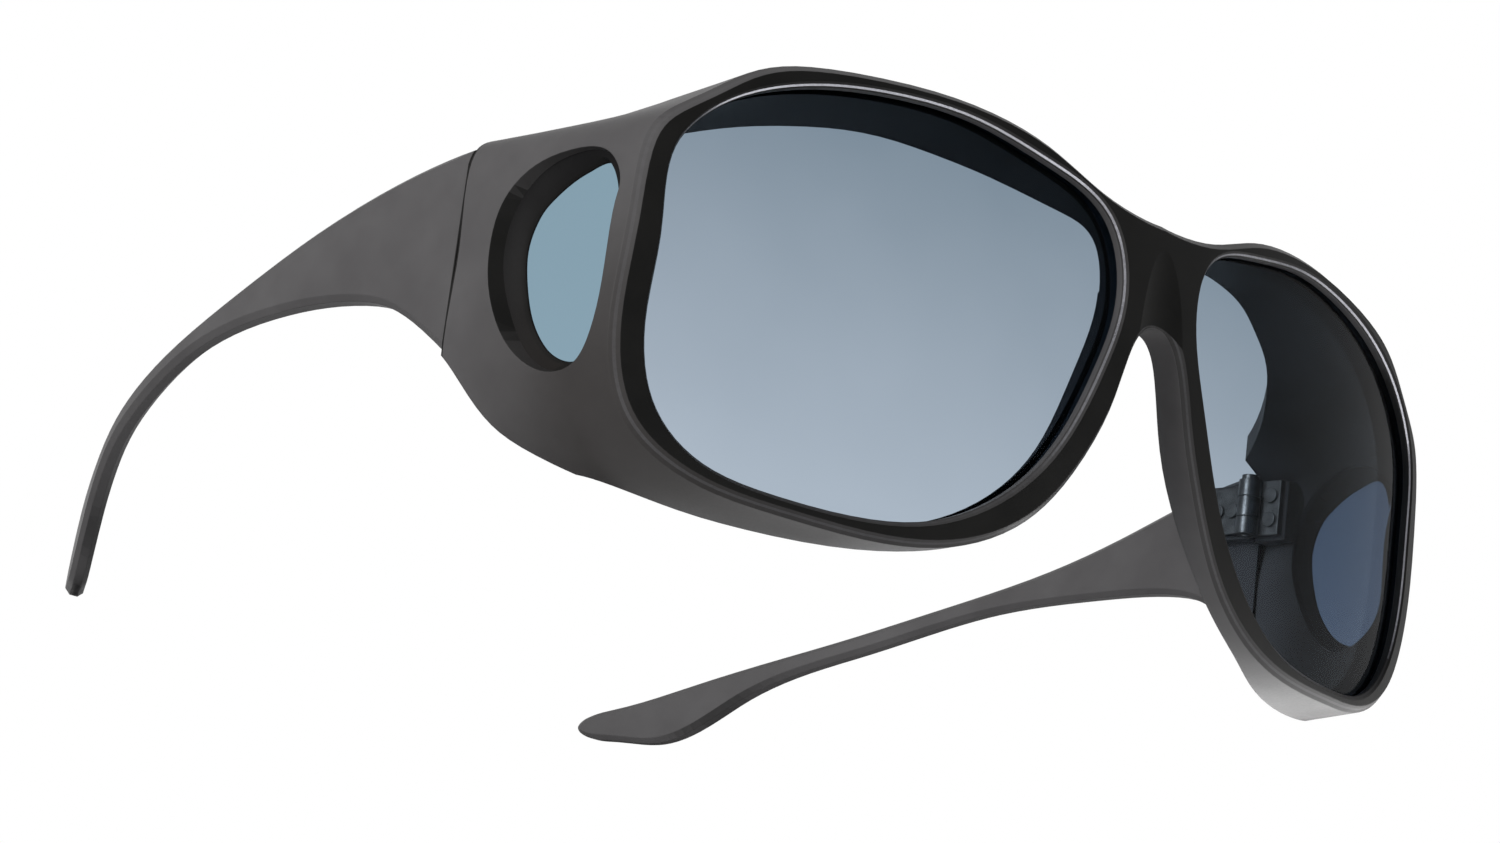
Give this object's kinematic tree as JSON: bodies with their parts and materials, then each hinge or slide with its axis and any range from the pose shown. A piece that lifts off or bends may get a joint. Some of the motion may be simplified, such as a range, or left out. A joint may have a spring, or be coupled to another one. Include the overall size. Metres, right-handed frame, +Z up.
{
  "type": "fitover sunglasses",
  "caption": "Large wraparound sunglasses worn over eyeglasses: moulded front with brow shelf and side shields, tinted front and side lenses, and two folding temples.",
  "frame": {"origin": "on the surface that it rests on, under the middle of the open sunglasses' bounding box", "axes": "+X to the wearer's left, -Y the way the lenses face, +Z up"},
  "size_m": [0.1552, 0.1484, 0.055],
  "materials": {
    "frame_plastic": "matte moulded charcoal plastic",
    "lens_tint": "smooth grey-blue tinted lens",
    "side_lens_tint": "smooth grey-blue tinted side lens",
    "hinge_metal": "dark brushed steel"
  },
  "bodies": {
    "front": {"front_frame": "frame_plastic", "right_front_lens": "lens_tint", "right_side_lens": "side_lens_tint", "right_front_hinge_leaf": "hinge_metal", "right_hinge_screw": "hinge_metal", "right_front_leaf_rivets": "hinge_metal", "left_front_lens": "lens_tint", "left_side_lens": "side_lens_tint", "left_front_hinge_leaf": "hinge_metal", "left_hinge_screw": "hinge_metal", "left_front_leaf_rivets": "hinge_metal"},
    "right_temple_arm": {"right_temple": "frame_plastic", "right_temple_hinge_leaf": "hinge_metal", "right_temple_leaf_rivets": "hinge_metal"},
    "left_temple_arm": {"left_temple": "frame_plastic", "left_temple_hinge_leaf": "hinge_metal", "left_temple_leaf_rivets": "hinge_metal"}
  },
  "joints": [
    {"name": "left_temple_fold", "type": "hinge", "parent": "front", "child": "left_temple_arm", "pos_m": [0.06951, -0.03395, 0.03426], "axis": [0, 0, 1], "range_deg": [0, 86]},
    {"name": "right_temple_fold", "type": "hinge", "parent": "front", "child": "right_temple_arm", "pos_m": [-0.06951, -0.03395, 0.03426], "axis": [0, 0, -1], "range_deg": [0, 81]}
  ]
}
